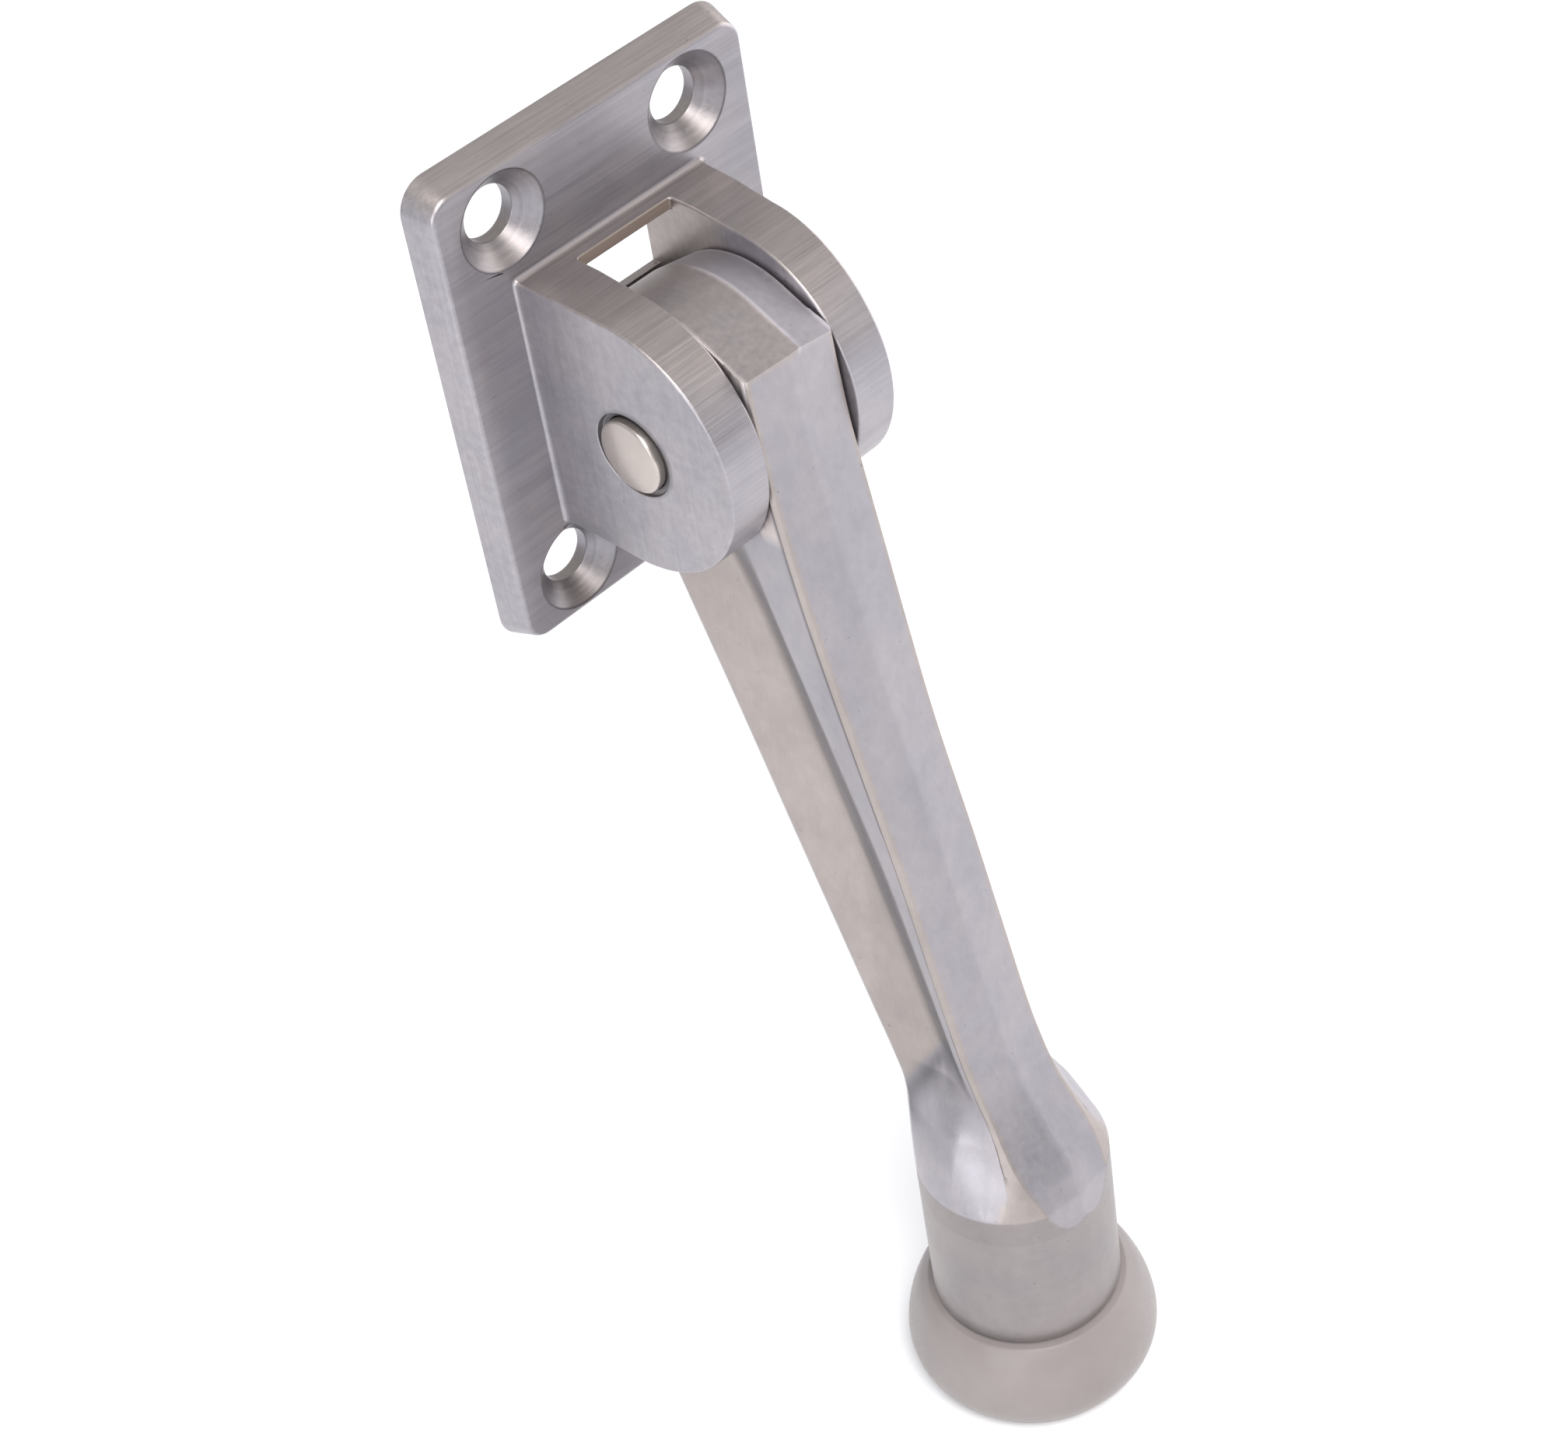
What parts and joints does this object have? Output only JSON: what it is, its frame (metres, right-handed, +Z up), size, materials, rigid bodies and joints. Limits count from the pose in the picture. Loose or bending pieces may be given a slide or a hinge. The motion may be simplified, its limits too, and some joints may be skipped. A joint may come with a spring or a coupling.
{
  "type": "floor door holder",
  "caption": "Kick-down floor door holder: a screwed plate with two ears, a fluted swing arm on a riveted pin and a rubber foot.",
  "frame": {"origin": "centre of the plate's flat back face, which lies on the door", "axes": "+Y into the door, +Z up the door, +X to the right for someone who faces the plate; the arm stands out along -Y and hangs towards -Z"},
  "size_m": [0.0412, 0.0584, 0.1562],
  "materials": {
    "bracket_metal": "satin plated, brushed",
    "arm_metal": "satin plated, tumbled",
    "rivet_metal": "plain nickel",
    "spring_steel": "bright spring steel",
    "tip_rubber": "matt moulded, warm grey"
  },
  "bodies": {
    "mount": {"bracket": "bracket_metal", "pivot_rivet": "rivet_metal", "spring_washer_left": "spring_steel", "spring_washer_right": "spring_steel"},
    "swing_arm": {"arm": "arm_metal", "rubber_tip": "tip_rubber"}
  },
  "joints": [
    {"name": "arm_swing", "type": "hinge", "parent": "mount", "child": "swing_arm", "pos_m": [0, -0.016, -0.0014], "axis": [-1, 0, 0], "range_deg": [-12, 158]}
  ]
}
